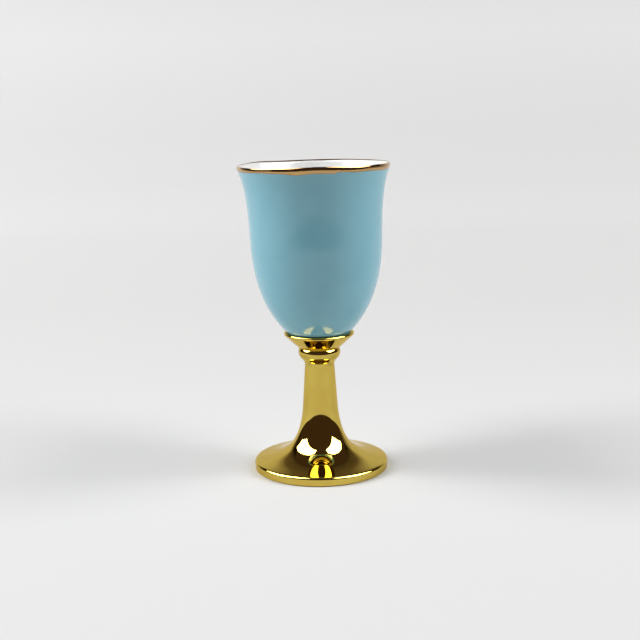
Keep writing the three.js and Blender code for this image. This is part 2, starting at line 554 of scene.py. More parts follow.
class Value:
    """A socket with a number in it, whose arithmetic adds Math nodes."""

    def __init__(self, board: Board, socket: bpy.types.NodeSocket) -> None:
        """Keeps the socket and the board that it is on."""
        self.board = board
        self.socket = socket

    def math(self, operation: str, other: "Value | float") -> "Value":
        """This value and another through a Math node."""
        return self.ordered(operation, self, other)

    def ordered(self, operation: str, first: "Value | float", second: "Value | float") -> "Value":
        """Two values through a Math node, in the order given."""
        node = self.board.add("ShaderNodeMath", {"operation": operation}, {0: first, 1: second})
        return Value(self.board, node.outputs[0])

    def step(self, low: float, high: float) -> "Value":
        """Climbs smoothly from 0 to 1.

        Args:
            low: Value at which it is 0. It may be the larger of the two.
            high: Value at which it is 1.

        Returns:
            The climb.
        """
        sockets = {"Value": self, "From Min": low, "From Max": high}
        node = self.board.add("ShaderNodeMapRange", {"interpolation_type": "SMOOTHSTEP"}, sockets)
        return Value(self.board, node.outputs[0])

    def between(self, low: "Value | float", high: "Value | float") -> "Value":
        """Goes from low at 0 to high at 1."""
        return low + (high - low) * self

    def __add__(self, other: "Value | float") -> "Value":
        """Sum."""
        return self.math("ADD", other)

    def __radd__(self, other: float) -> "Value":
        """Sum with a number in front."""
        return self.math("ADD", other)

    def __sub__(self, other: "Value | float") -> "Value":
        """Difference."""
        return self.math("SUBTRACT", other)

    def __rsub__(self, other: float) -> "Value":
        """Difference with a number in front."""
        return self.ordered("SUBTRACT", other, self)

    def __mul__(self, other: "Value | float") -> "Value":
        """Product."""
        return self.math("MULTIPLY", other)

    def __rmul__(self, other: float) -> "Value":
        """Product with a number in front."""
        return self.math("MULTIPLY", other)

    def __truediv__(self, other: "Value | float") -> "Value":
        """Quotient."""
        return self.math("DIVIDE", other)

    def __rtruediv__(self, other: float) -> "Value":
        """Quotient with a number in front."""
        return self.ordered("DIVIDE", other, self)


def new_material(name: str) -> tuple[bpy.types.Material, Board]:
    """Makes an empty material.

    Args:
        name: Its name.

    Returns:
        The material and the board of its nodes.
    """
    material = bpy.data.materials.new(name)
    material.use_nodes = True
    return material, Board(material.node_tree)


# Finishes of the cup


@dataclass(frozen=True)
class BlueGlaze:
    """Pale blue gloss glaze, a little thinner over the flare of the lip, faintly clouded.

    Attributes:
        colour: Its main colour.
        deep: Colour of its deeper clouds.
        thin: Colour towards which it pales where it is thin.
        thinning: Share of the thin colour at the lip.
        flare_from: Level where it starts to thin, in millimetres.
        flare_to: Level where it is thinnest.
        clouds: Its clouds.
        haze: Fine change of its gloss.
        roughness: Roughness at the haze's 0 and 1.
        ripple: Its relief.
        relief: Depth of the ripple in millimetres.
        pinholes: Small holes left by bubbles.
        pinhole_depth: Depth of a pinhole, in ripples.
        pinhole_roughness: What a pinhole adds to the roughness.
    """

    colour: Colour = (0.220, 0.488, 0.585)
    deep: Colour = (0.204, 0.470, 0.567)
    thin: Colour = (0.27, 0.53, 0.615)
    thinning: float = 0.35
    flare_from: float = 75.0
    flare_to: float = 79.5
    clouds: Grain = Grain(9.0, 3.0, edges=(0.35, 0.65))
    haze: Grain = Grain(2.5)
    roughness: Point = (0.11, 0.13)
    ripple: Grain = Grain(6.0, 1.0)
    relief: float = 0.006
    pinholes: Specks = Specks(5.0, 0.07, 0.25)
    pinhole_depth: float = 0.4
    pinhole_roughness: float = 0.3

    def material(self) -> bpy.types.Material:
        """Builds the finish.

        Returns:
            The material.
        """
        material, board = new_material("blue_gloss_glaze")
        body = board.mix(board.noise(self.clouds), self.deep, self.colour)
        flare = board.height().step(self.flare_from, self.flare_to)
        pinholes = board.specks(self.pinholes)
        gloss = board.noise(self.haze).between(*self.roughness)
        board.surface({
            "Base Color": board.mix(self.thinning * flare, body, self.thin),
            "Roughness": gloss + self.pinhole_roughness * pinholes,
            "IOR": GLAZE_IOR,
            "Normal": board.bump(board.noise(self.ripple) - self.pinhole_depth * pinholes, self.relief),
        })
        return material


@dataclass(frozen=True)
class WhitePorcelain:
    """White body under clear glaze, bare and matt below the line where the glaze was wiped off.

    Attributes:
        glazed: Colour of the glazed body.
        bare: Colour of the bare body.
        speck: Colour of the specks in the body.
        specks: Those specks.
        speck_share: How strongly they show.
        wiped: Level of the wiped line in millimetres.
        wiped_over: Height over which the glaze comes in.
        waver: How far the line wavers.
        wavering: Its unevenness.
        roughness: Roughness of the bare and of the glazed body.
        haze: Fine change of the gloss.
        hazing: What the haze adds to the roughness.
        ripple: Relief of the glaze.
        relief: Depth of the ripple in millimetres.
        grain: Relief of the bare body.
        grain_depth: Depth of the grain, in ripples.
    """

    glazed: Colour = (0.93, 0.93, 0.92)
    bare: Colour = (0.74, 0.70, 0.63)
    speck: Colour = (0.35, 0.30, 0.24)
    specks: Specks = Specks(7.0, 0.08, 0.2)
    speck_share: float = 0.4
    wiped: float = 36.3
    wiped_over: float = 0.3
    waver: float = 0.25
    wavering: Grain = Grain(3.0)
    roughness: Point = (0.62, 0.22)
    haze: Grain = Grain(3.0)
    hazing: float = 0.02
    ripple: Grain = Grain(7.0, 1.0)
    relief: float = 0.006
    grain: Grain = Grain(0.3, 4.0)
    grain_depth: float = 3.0

    def material(self) -> bpy.types.Material:
        """Builds the finish.

        Returns:
            The material.
        """
        material, board = new_material("white_porcelain")
        edge = board.height() + self.waver * board.noise(self.wavering)
        glazed = edge.step(self.wiped, self.wiped + self.wiped_over)
        white = board.mix(self.speck_share * board.specks(self.specks), self.glazed, self.speck)
        ripple, grain = board.noise(self.ripple), board.noise(self.grain)
        board.surface({
            "Base Color": board.mix(glazed, self.bare, white),
            "Roughness": glazed.between(*self.roughness) + self.hazing * board.noise(self.haze),
            "IOR": GLAZE_IOR,
            "Normal": board.bump(ripple * glazed + self.grain_depth * grain * (1 - glazed), self.relief),
        })
        return material


@dataclass(frozen=True)
class GiltLustre:
    """Fired gold lustre, brushed on by hand: brown where it is thin, streaked along the lip.

    Attributes:
        gold: Colour where it covers fully.
        thin: Colour where it is thin.
        streaks: Marks of the brush.
        least_cover: Cover that is left between the streaks.
        roughness: Roughness where it is thin and where it covers fully.
        relief: Depth of the streaks in millimetres.
    """

    gold: Colour = (0.56, 0.36, 0.15)
    thin: Colour = (0.36, 0.20, 0.08)
    streaks: Grain = Grain(3.0, 4.0, (1.0, 1.0, 14.0), (0.3, 0.7))
    least_cover: float = 0.7
    roughness: Point = (0.11, 0.05)
    relief: float = 0.002

    def material(self) -> bpy.types.Material:
        """Builds the finish.

        Returns:
            The material.
        """
        material, board = new_material("gilt_lustre")
        streaks = board.noise(self.streaks)
        full = board.along(GILT_COVER) * streaks.between(self.least_cover, 1.0)
        board.surface({
            "Base Color": board.mix(full, self.thin, self.gold),
            "Roughness": full.between(*self.roughness),
            "Metallic": 1.0,
            "Normal": board.bump(streaks, self.relief),
        })
        return material


@dataclass(frozen=True)
class GoldPlate:
    """Polished gold plating with a faint ripple of the casting under it and a few small pits.

    Attributes:
        gold: Its main colour.
        warm: Colour of its warmer clouds.
        edge: Tint of what it mirrors at a grazing angle.
        clouds: Its clouds.
        haze: Stretches of weaker polish.
        roughness: Roughness of the best and of the weakest polish.
        ripple: Relief of the casting.
        relief: Depth of the ripple in millimetres.
        pits: The pits.
        pit: Colour in a pit.
        pit_depth: Depth of a pit, in ripples.
        pit_roughness: What a pit adds to the roughness.
    """

    gold: Colour = (0.64, 0.48, 0.10)
    warm: Colour = (0.61, 0.44, 0.085)
    edge: Colour = (0.90, 0.80, 0.60)
    clouds: Grain = Grain(7.0, 3.0, edges=(0.35, 0.65))
    haze: Grain = Grain(2.0, 3.0, edges=(0.5, 0.8))
    roughness: Point = (0.035, 0.065)
    ripple: Grain = Grain(4.0, 1.0)
    relief: float = 0.004
    pits: Specks = Specks(3.2, 0.10, 0.08)
    pit: Colour = (0.16, 0.11, 0.03)
    pit_depth: float = 2.0
    pit_roughness: float = 0.3

    def material(self) -> bpy.types.Material:
        """Builds the finish.

        Returns:
            The material.
        """
        material, board = new_material("gold_plate")
        metal = board.mix(board.noise(self.clouds), self.warm, self.gold)
        pits = board.specks(self.pits)
        polish = board.noise(self.haze).between(*self.roughness)
        board.surface({
            "Base Color": board.mix(pits, metal, self.pit),
            "Roughness": polish + self.pit_roughness * pits,
            "Metallic": 1.0,
            "Specular Tint": self.edge,
            "Normal": board.bump(board.noise(self.ripple) - self.pit_depth * pits, self.relief),
        })
        return material


@dataclass(frozen=True)
class SetCement:
    """Set resin cement, slightly cloudy, with small bubbles.

    Attributes:
        resin: Colour of the clear resin.
        cloudy: Colour of its clouds.
        clouds: The clouds, which are its relief too.
        bubbles: The bubbles.
        roughness: Roughness of the clouds and of the clear resin.
        relief: Depth of a cloud and of a bubble in millimetres.
    """

    resin: Colour = (0.68, 0.62, 0.42)
    cloudy: Colour = (0.56, 0.50, 0.33)
    clouds: Grain = Grain(1.2, 3.0)
    bubbles: Specks = Specks(0.9, 0.12, 0.4)
    roughness: Point = (0.3, 0.55)
    relief: float = 0.05

    def material(self) -> bpy.types.Material:
        """Builds the finish.

        Returns:
            The material.
        """
        material, board = new_material("set_cement")
        clouds = board.noise(self.clouds)
        board.surface({
            "Base Color": board.mix(clouds, self.cloudy, self.resin),
            "Roughness": clouds.between(*self.roughness),
            "Normal": board.bump(clouds - board.specks(self.bubbles), self.relief),
        })
        return material


@dataclass(frozen=True)
class PressedFelt:
    """Black felt: matted fibres over a soft, cloudy ground.

    Attributes:
        dark: Colour of the ground.
        light: Colour of the fibres that lie on top.
        along: Fibres one way.
        across: Fibres the other way.
        edges: Levels of the two together at which a fibre starts and is full.
        clouds: Clouds of the ground.
        fibre_share: Share of the fibres in the colour. The clouds have the rest.
        roughness: Roughness at the clouds' 0 and 1.
        sheen: Weight of the sheen on its nap.
        relief: Depth of the fibres in millimetres.
    """

    dark: Colour = (0.016, 0.015, 0.015)
    light: Colour = (0.05, 0.048, 0.046)
    along: Grain = Grain(0.12, 5.0, (1.0, 0.25, 1.0))
    across: Grain = Grain(0.12, 5.0, (0.25, 1.0, 1.0))
    edges: Point = (0.42, 0.75)
    clouds: Grain = Grain(2.5)
    fibre_share: float = 0.75
    roughness: Point = (0.9, 1.0)
    sheen: float = 0.4
    relief: float = 0.12

    def material(self) -> bpy.types.Material:
        """Builds the finish.

        Returns:
            The material.
        """
        material, board = new_material("pressed_felt")
        fibres = board.noise(self.along).math("MAXIMUM", board.noise(self.across)).step(*self.edges)
        clouds = board.noise(self.clouds)
        lightness = self.fibre_share * fibres + (1.0 - self.fibre_share) * clouds
        board.surface({
            "Base Color": board.mix(lightness, self.dark, self.light),
            "Roughness": clouds.between(*self.roughness),
            "Sheen Weight": self.sheen,
            "Normal": board.bump(fibres, self.relief),
        })
        return material


@dataclass(frozen=True)
class ScrewSteel:
    """Plain bright steel with fine turning marks round the axis.

    Attributes:
        bright: Colour of the ridges.
        dull: Colour of the furrows.
        marks: The turning marks.
        roughness: Roughness of the furrows and of the ridges.
        relief: Depth of the marks in millimetres.
    """

    bright: Colour = (0.55, 0.56, 0.58)
    dull: Colour = (0.38, 0.38, 0.39)
    marks: Grain = Grain(0.8, 3.0, (1.0, 1.0, 12.0))
    roughness: Point = (0.22, 0.38)
    relief: float = 0.006

    def material(self) -> bpy.types.Material:
        """Builds the finish.

        Returns:
            The material.
        """
        material, board = new_material("screw_steel")
        marks = board.noise(self.marks)
        board.surface({
            "Base Color": board.mix(marks, self.dull, self.bright),
            "Roughness": marks.between(*self.roughness),
            "Metallic": 1.0,
            "Normal": board.bump(marks, self.relief),
        })
        return material


# The bowl


@dataclass
class BowlForm:
    """The bowl's form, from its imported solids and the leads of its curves.

    Attributes:
        base: Level of the base, where the glaze starts.
        lip_top: Level of the top of the lip.
        lip_radius: Radius over the gilding.
        base_radius: Radius of the base.
        base_spread: How far out from the base the outer curve's first lead goes.
        base_rise: How far up that lead goes.
        belly_radius: Radius at the belly.
        belly_height: Height of the belly above the base.
        belly_draft: How far the wall leans out at the belly for each millimetre up.
        belly_drop: How far below the belly the outer curve turns upright.
        inner_drop: The same for the inner curve.
        belly_rise: How far above the belly the wall stays upright.
        lip_lean: How far in from the wall's top its last lead lies.
        lip_run: How far below the top that lead lies.
        lip_skirt: How far below the lip's top the wall ends.
        lip_proud: How far the lip's widest line stands out past the wall's end.
        brow_round: Radius of the lip's gentle outer arc.
        brow_turn: Angle where that arc ends, 0 pointing out and 90 up.
        brink_round: Radius of the tight arc after it.
        brink_turn: Angle where that arc ends.
        roll_round: Radius of the arc over to the inside.
        roll_turn: Angle where that arc ends.
        wall: Thickness of the wall at the belly.
        floor: Thickness of the floor.
        floor_spread: How far out from the middle the inner curve's first lead goes.
        glaze: Thickness of the glaze.
        film: Thickness of the gilding.
        lift_from: Level where the unevenness of the lip starts.
        lifts: How much higher the lip is round the cup.
        ovals: How much wider it is round the cup.
        shift: How far to the left the bowl stands.
        shift_over: Height above the base over which the shift comes in.
        lean: How much further to the left the lip is.
    """

    base: float
    lip_top: float
    lip_radius: float
    base_radius: float = 7.75
    base_spread: float = 8.6
    base_rise: float = 8.05
    belly_radius: float = 17.05
    belly_height: float = 25.95
    belly_draft: float = 0.02
    belly_drop: float = 6.0
    inner_drop: float = 13.7
    belly_rise: float = 6.2
    lip_lean: float = 1.72
    lip_run: float = 4.5
    lip_skirt: float = 1.35
    lip_proud: float = 0.2
    brow_round: float = 2.4
    brow_turn: float = 7.0
    brink_round: float = 0.18
    brink_turn: float = 80.0
    roll_round: float = 1.0
    roll_turn: float = 154.0
    wall: float = 1.8
    floor: float = 3.2
    floor_spread: float = 9.6
    glaze: float = 0.3
    film: float = 0.05
    lift_from: float = 66.0
    lifts: Changes = (
        Swell(0.0, 18.0, 0.34),
        Swell(-48.0, 12.0, -0.11),
        Swell(32.0, 8.0, -0.09),
        Swell(52.0, 10.0, 0.09),
        Swell(-130.0, 14.0, 0.18),
        Wave(5, 20.0, 0.02),
        Wave(1, 90.0, 0.19),
    )
    ovals: Changes = (Wave(2, 25.0, 0.05), Wave(3, 100.0, 0.03))
    shift: float = 0.1
    shift_over: float = 1.0
    lean: float = 0.62

    def wall_curve(self, low: Point, low_lead: Point, drop: float, belly: float, top: Point) -> Floats:
        """One side of the wall: a curve up to the belly, then one that leans out to the lip.

        Args:
            low: Lowest point.
            low_lead: Corner that the curve leaves it towards.
            drop: How far below the belly the curve turns upright.
            belly: Radius at the belly.
            top: Highest point.

        Returns:
            The points, from the lowest up.
        """
        level = self.base + self.belly_height
        under = (belly - self.belly_draft * drop, level - drop)
        over = (belly + self.belly_draft * self.belly_rise, level + self.belly_rise)
        lean = (top[0] - self.lip_lean, top[1] - self.lip_run)
        return outline(bend(low, low_lead, under, (belly, level)), bend((belly, level), over, lean, top))

    def lip(self) -> Floats:
        """The lip from its widest line: a gentle brow, a tight brink, and a roll over to the inside.

        The three arcs share their tangents: each middle lies on the line from the next one's middle
        to the point where the two meet. The roll touches the lip's top level.

        Returns:
            The points, one in a row.
        """
        roll = np.array([0.0, self.lip_top - self.roll_round])
        brink = roll + (self.roll_round - self.brink_round) * pointing(self.brink_turn)
        brow = brink - (self.brow_round - self.brink_round) * pointing(self.brow_turn)
        out = np.array([self.lip_radius - self.brow_round - brow[0], 0.0])
        return outline(
            arc(brow + out, self.brow_round, 0.0, self.brow_turn),
            arc(brink + out, self.brink_round, self.brow_turn, self.brink_turn),
            arc(roll + out, self.roll_round, self.brink_turn, self.roll_turn),
        )

    def outside(self) -> Floats:
        """The outer face from the base to the lip's widest line, with a small swell below that line.

        Returns:
            The points, one in a row.
        """
        low = (self.base_radius, self.base)
        low_lead = (self.base_radius + self.base_spread, self.base + self.base_rise)
        top = (self.lip_radius - self.lip_proud, self.lip_top - self.lip_skirt)
        widest = tuple(self.lip()[0])
        corner = (self.lip_radius, (top[1] + widest[1]) / 2)
        wall = self.wall_curve(low, low_lead, self.belly_drop, self.belly_radius, top)
        return outline(wall, bend(top, corner, corner, widest))

    def inside(self) -> Floats:
        """The inner face, from the middle of the floor up to the end of the lip's roll.

        Returns:
            The points, one in a row.
        """
        floor = self.base + self.floor
        top = tuple(inset(self.lip(), self.film)[-1])
        inner = self.belly_radius - self.wall
        return self.wall_curve((0.0, floor), (self.floor_spread, floor), self.inner_drop, inner, top)

    def worked(self, radius: Floats, height: Floats) -> tuple[Floats, Floats]:
        """Gives a true turned form the slight unevenness of a cast and trimmed one.

        The lip is lifted by the sum of the lifts and the upper wall moved out by the sum of the
        ovals, both fading to nothing down the wall. The bowl stands to the left by the shift, which
        comes in just above the base, and leans on by the lean times the square of its height's share.

        Args:
            radius: Radius at each row and angle.
            height: Height at each row and angle.

        Returns:
            The radius and the height, changed.
        """
        angle = round_angles()
        share = ease(height, self.lift_from, self.lip_top)
        climb = np.clip((height - self.base) / (self.lip_top - self.base), 0.0, 1.0)
        left = self.shift * ease(height, self.base, self.base + self.shift_over) + self.lean * climb**2
        left *= np.clip(radius / self.base_radius, 0.0, 1.0)
        aside = left * Wave(1, -90.0, 1.0).along(angle)
        moved = radius + aside + share * summed(self.ovals, angle)
        return moved, height + share * summed(self.lifts, angle)


@dataclass
class Bowl:
    """The porcelain bowl with its glaze and gilding.

    Attributes:
        form: The curves of its walls.
        ring_bottom: Level of the bottom of the foot ring.
        ring_inner: Inner radius of the foot ring.
        ring_outer: Outer radius of the foot ring.
        ring_round: Radius of its lower edges.
        band: Mean level of the gilt band's lower edge below the lip's top.
        drops: How much deeper the painter's edge hangs round the cup.
        reach: How far past the top of the lip the band goes, on the mean.
        reaches: How much further it goes round the cup.
        lap: How far the glaze goes up under the gilding.
        film_edge: How far from its edges the gilding comes to its full thickness.
        film_back: Share of that thickness that its back lies inside the outline.
        film_rows: Rows of points from edge to edge.
        pieces: The finished pieces.
    """

    form: BowlForm
    ring_bottom: float
    ring_inner: float = 3.25
    ring_outer: float = 4.45
    ring_round: float = 0.2
    band: float = 1.27
    drops: Changes = (
        Stroke(-14.0, 13.0, 14.0, 4.0, 0.36),
        Swell(-13.0, 6.0, 0.12),
        Swell(-46.0, 13.0, -0.22),
        Swell(62.0, 16.0, 0.28),
        Stroke(120.0, 160.0, 20.0, 5.0, 0.25),
        Swell(-140.0, 25.0, 0.2),
        Wave(17, 10.0, 0.015),
    )
    reach: float = 0.2
    reaches: Changes = (
        Wave(1, 180.0, 0.36),
        Swell(-163.0, 24.0, 0.17),
        Wave(7, 15.0, 0.05),
        Wave(12, 50.0, 0.03),
    )
    lap: float = 0.12
    film_edge: float = 0.3
    film_back: float = 0.9
    film_rows: int = 64
    pieces: list[bpy.types.Object] = field(default_factory=list)

    def build(self) -> None:
        """Makes and dresses the pieces of the bowl."""
        self.pieces = [self.body(), self.glaze(), self.gilding()]

    def painted_edge(self) -> Floats:
        """Level of the gilding's outer edge at each angle."""
        return self.form.lip_top - self.band - summed(self.drops, round_angles())

    def body(self) -> bpy.types.Object:
        """The porcelain: foot ring, outer face under the glaze, lip, and the inside.

        Returns:
            The piece.
        """
        form = self.form
        ring_low = self.ring_bottom + self.ring_round
        skin = form.outside() - np.array([form.glaze, 0.0])
        lip = inset(form.lip(), form.film)
        points = outline(
            [(0.0, form.base), (self.ring_inner, form.base)],
            arc((self.ring_inner + self.ring_round, ring_low), self.ring_round, 180.0, 270.0),
            arc((self.ring_outer - self.ring_round, ring_low), self.ring_round, 270.0, 360.0),
            [(self.ring_outer, form.base)],
            skin[:-1],
            lip,
            form.inside()[::-1],
        )
        plain = TurnedSurface.plain(points, Closure.AXIS)
        surface = TurnedSurface(*form.worked(plain.radius, plain.height), Closure.AXIS)
        mesh = surface.mesh("bowl_body")
        return piece(mesh, WhitePorcelain().material(), "porcelain_bowl")

    def glaze(self) -> bpy.types.Object:
        """The glaze: its outer face goes from the base to just under the painted edge.

        At each angle the wall's points keep their shares of the height up to that edge, and the
        back lies inside by the glaze's thickness.

        Returns:
            The piece.
        """
        form = self.form
        wall = form.outside()
        top = self.painted_edge() + self.lap
        share = (wall[:, 1] - form.base) / (wall[-1, 1] - form.base)
        height = form.base + share[:, None] * (top - form.base)
        outer = np.interp(height, wall[:, 1], wall[:, 0])
        radius = np.vstack([outer, outer[::-1] - form.glaze])
        height = np.vstack([height, height[::-1]])
        surface = TurnedSurface(*form.worked(radius, height), Closure.RING)
        return piece(surface.mesh("bowl_glaze"), BlueGlaze().material(), "blue_glaze")

    def gilding(self) -> bpy.types.Object:
        """The gilt film: up from the painted edge, over the lip, and on past its top.

        At each angle the outline's length is run through from the painted edge to the inner edge.
        The film stands proud of that outline by its thickness, which climbs from nothing at both
        edges, and its back lies just inside.

        Returns:
            The piece.
        """
        form = self.form
        angle = round_angles()
        wall = form.outside()
        path = outline(wall, form.lip())
        length = np.concatenate([[0.0], np.cumsum(np.linalg.norm(np.diff(path, axis=0), axis=1))])
        first = np.interp(self.painted_edge(), wall[:, 1], length[: len(wall)])
        last = length[path[:, 1].argmax()] + self.reach + summed(self.reaches, angle)
        at = first + np.linspace(0.0, 1.0, self.film_rows)[:, None] * (last - first)
        cover = ease(np.minimum(at - first, last - at), 0.0, self.film_edge)
        radius, height = np.interp(at, length, path[:, 0]), np.interp(at, length, path[:, 1])
        out, up = np.gradient(height, axis=0), -np.gradient(radius, axis=0)
        thick = form.film / np.hypot(out, up)
        front = radius + cover * thick * out, height + cover * thick * up
        back = radius - self.film_back * thick * out, height - self.film_back * thick * up
        both = [np.vstack([face, rear[::-1]]) for face, rear in zip(front, back)]
        mesh = TurnedSurface(*form.worked(*both), Closure.RING).mesh("lip_gilding")
        cover_at = mesh.attributes.new(GILT_COVER, "FLOAT", "POINT")
        cover_at.data.foreach_set("value", np.vstack([cover, cover[::-1]]).ravel())
        return piece(mesh, GiltLustre().material(), "gilt_lip")


# The seat


@dataclass
class Seat:
    """The gilt dish that holds the bowl, the beaded ring under it, the cement and the screw.

    Attributes:
        bowl: The bowl that stands in the dish.
        foot: The stem that the ring stands on.
        ring_bottom: Level of the bottom of the beaded ring, on the stem.
        bottom: Level of the dish's underside.
        top: Level of the rim's top.
        cement_bottom: Level of the well's floor under the cement.
        screw_bottom: Level of the screw's tip.
        screw_top: Level of the top of its head.
        bead_radius: Radius of the bead's widest line.
        bead_level: Height of that line above the ring's bottom.
        crease_radius: Radius of the crease between the ring and the dish.
        rim_inner: Inner radius of the rim.
        rim_wall: Thickness of the rim.
        rim_turn: How far below level the rim's round starts, in degrees.
        spread: How far out from the crease the lead of the dish's underside goes.
        rise: How far up that lead goes.
        glue: Thickness of the cement under the bowl's base.
        well_radius: Radius of the well for the bowl's foot ring.
        squeezes: How much higher the cement is squeezed out round the cup.
        squeeze_drop: How far below the middle of the rim's round it stays, on the mean.
        shank_radius: Radius of the screw's shank.
        thread_pitch: Height of one turn of the thread.
        thread_depth: Depth of the thread.
        thread_rows: Rows of points in one turn.
        tip: Height and width of the bevel at the screw's tip.
        head_radius: Radius of the head.
        head_height: Height of the whole dome.
        dome_turn: Angle where the socket cuts the dome off, 0 at its edge and 90 at its top.
        socket_width: Width of the hexagon socket across its flats.
        socket_depth: Depth of its walls below the whole dome.
        burr_width: How far the socket's raised edge goes out.
        burr_rise: How far it goes up.
        burr_fall: How far it goes down inside.
        drill_point: Depth of the drill's point under the walls.
        pieces: The finished pieces.
    """

    bowl: Bowl
    foot: "StemAndFoot"
    ring_bottom: float
    bottom: float
    top: float
    cement_bottom: float
    screw_bottom: float
    screw_top: float
    bead_radius: float = 5.49
    bead_level: float = 3.6
    crease_radius: float = 5.2
    rim_inner: float = 8.25
    rim_wall: float = 0.9
    rim_turn: float = 55.0
    spread: float = 1.65
    rise: float = 1.39
    glue: float = 0.3
    well_radius: float = 4.75
    squeezes: Changes = (Wave(3, 20.0, 0.08), Wave(5, 70.0, 0.05), Wave(11, 0.0, 0.03))
    squeeze_drop: float = 0.16
    shank_radius: float = 1.5
    thread_pitch: float = 0.5
    thread_depth: float = 0.27
    thread_rows: int = 10
    tip: float = 0.5
    head_radius: float = 2.85
    head_height: float = 1.65
    dome_turn: float = 68.0
    socket_width: float = 2.0
    socket_depth: float = 1.04
    burr_width: float = 0.08
    burr_rise: float = 0.05
    burr_fall: float = 0.03
    drill_point: float = 0.2
    pieces: list[bpy.types.Object] = field(default_factory=list)

    def build(self) -> None:
        """Makes and dresses the pieces of the seat."""
        gold = GoldPlate().material()
        self.pieces = [self.dish(gold), self.bead(gold), self.cement(), self.screw()]

    @property
    def shelf(self) -> float:
        """Level of the dish's shelf under the bowl's base."""
        return self.bowl.form.base - self.glue

    def dish(self, gold: bpy.types.Material) -> bpy.types.Object:
        """The dish: a spreading underside, a full-round rim, a shelf and a well.

        Args:
            gold: Its finish.

        Returns:
            The piece.
        """
        base, bore = self.bowl.form.base_radius, self.foot.bore_radius
        rim_round = self.rim_wall / 2
        rim = arc((self.rim_inner + rim_round, self.top - rim_round), rim_round, -self.rim_turn, 180.0)
        lead = (self.crease_radius + self.spread, self.bottom + self.rise)
        points = outline(
            [(bore, self.bottom)],
            bend((self.crease_radius, self.bottom), lead, lead, tuple(rim[0])),
            rim,
            [(base, self.shelf), (self.well_radius, self.shelf)],
            [(self.well_radius, self.cement_bottom), (bore, self.cement_bottom)],
        )
        mesh = TurnedSurface.plain(points, Closure.RING).mesh("seat_dish")
        return piece(mesh, gold, "bowl_seat")

    def bead(self, gold: bpy.types.Material) -> bpy.types.Object:
        """The ring: a cove that carries on the stem's taper, then a bead that leans in to the crease.

        The bead is an arc that starts upright at the widest line. An arc that leans in by d over a
        height h has the radius (h^2 + d^2) / 2d and turns through the angle whose sine is h / radius.

        Args:
            gold: Its finish.

        Returns:
            The piece.
        """
        neck, bore = self.foot.neck_radius, self.foot.bore_radius
        low, wide = self.ring_bottom, self.ring_bottom + self.bead_level
        middle = (low + wide) / 2
        cove_lead = (neck - self.foot.taper * (middle - low), middle)
        lean, rise = self.bead_radius - self.crease_radius, self.bottom - wide
        crown = (rise**2 + lean**2) / (2 * lean)
        turn = math.degrees(math.asin(rise / crown))
        points = outline(
            [(bore, low)],
            bend((neck, low), cove_lead, (self.bead_radius, middle), (self.bead_radius, wide)),
            arc((self.bead_radius - crown, wide), crown, 0.0, turn),
            [(bore, self.bottom)],
        )
        mesh = TurnedSurface.plain(points, Closure.RING).mesh("knop_bead")
        return piece(mesh, gold, "knop_ring")

    def cement(self) -> bpy.types.Object:
        """The bed of cement, its outer edge squeezed out unevenly between bowl and rim.

        Returns:
            The piece.
        """
        bowl, base, level = self.bowl, self.bowl.form.base_radius, self.bowl.form.base
        points = outline(
            [(bowl.ring_inner, self.cement_bottom), (self.well_radius, self.cement_bottom)],
            [(self.well_radius, self.shelf), (base, self.shelf)],
            [(self.rim_inner, self.top - self.rim_wall / 2), (base, level)],
            [(bowl.ring_outer, level), (bowl.ring_outer, bowl.ring_bottom)],
            [(bowl.ring_inner, bowl.ring_bottom)],
        )
        plain = TurnedSurface.plain(points, Closure.RING)
        squeezed = ease(plain.radius, base, self.rim_inner)
        uneven = summed(self.squeezes, round_angles()) - self.squeeze_drop
        surface = TurnedSurface(plain.radius, plain.height + squeezed * uneven, Closure.RING)
        return piece(surface.mesh("cement_bed"), SetCement().material(), "adhesive_bed")

    def screw(self) -> bpy.types.Object:
        """The clamp screw: a helical thread on the shank, a domed head, a hexagon socket.

        The thread's radius falls from crest to root and back as the distance of height / pitch
        minus angle / turn from a whole number. The socket's radius is half its width divided by
        the cosine of the angle from the middle of the nearest flat.

        Returns:
            The piece.
        """
        angle = round_angles()
        level = np.ones(COLUMNS)
        under_head = self.screw_top - self.head_height
        tip_radius = self.shank_radius - self.tip
        count = round((under_head - self.screw_bottom - self.tip) / self.thread_pitch * self.thread_rows)
        shank = np.linspace(self.screw_bottom + self.tip, under_head, count)[:, None]
        phase = shank / self.thread_pitch - angle / FULL_TURN
        groove = 2 * np.abs(phase - np.round(phase))
        plain_end = ease(shank, under_head, under_head - self.thread_pitch)
        thread = self.shank_radius - self.thread_depth * groove * plain_end
        dome = arc((0.0, 0.0), 1.0, 0.0, self.dome_turn) * np.array([self.head_radius, self.head_height])
        hexagon = self.socket_width / 2 / np.cos(np.radians(centred(angle, FACE_TURN)))
        mouth = under_head + dome[-1, 1]
        depth = self.screw_top - self.socket_depth
        rows = [
            (0.0 * level, self.screw_bottom),
            (tip_radius * level, self.screw_bottom),
            (thread, shank),
            (dome[:, :1] * level, under_head + dome[:, 1:]),
            (hexagon + self.burr_width, mouth + self.burr_rise),
            (hexagon, mouth - self.burr_fall),
            (hexagon, depth),
            (0.0 * level, depth - self.drill_point),
        ]
        radius = np.vstack([row for row, _ in rows])
        height = np.vstack([np.broadcast_to(at, np.atleast_2d(row).shape) for row, at in rows])
        mesh = TurnedSurface(radius, height, Closure.AXIS).mesh("machine_screw")
        return piece(mesh, ScrewSteel().material(), "clamp_screw")


# The stem and foot


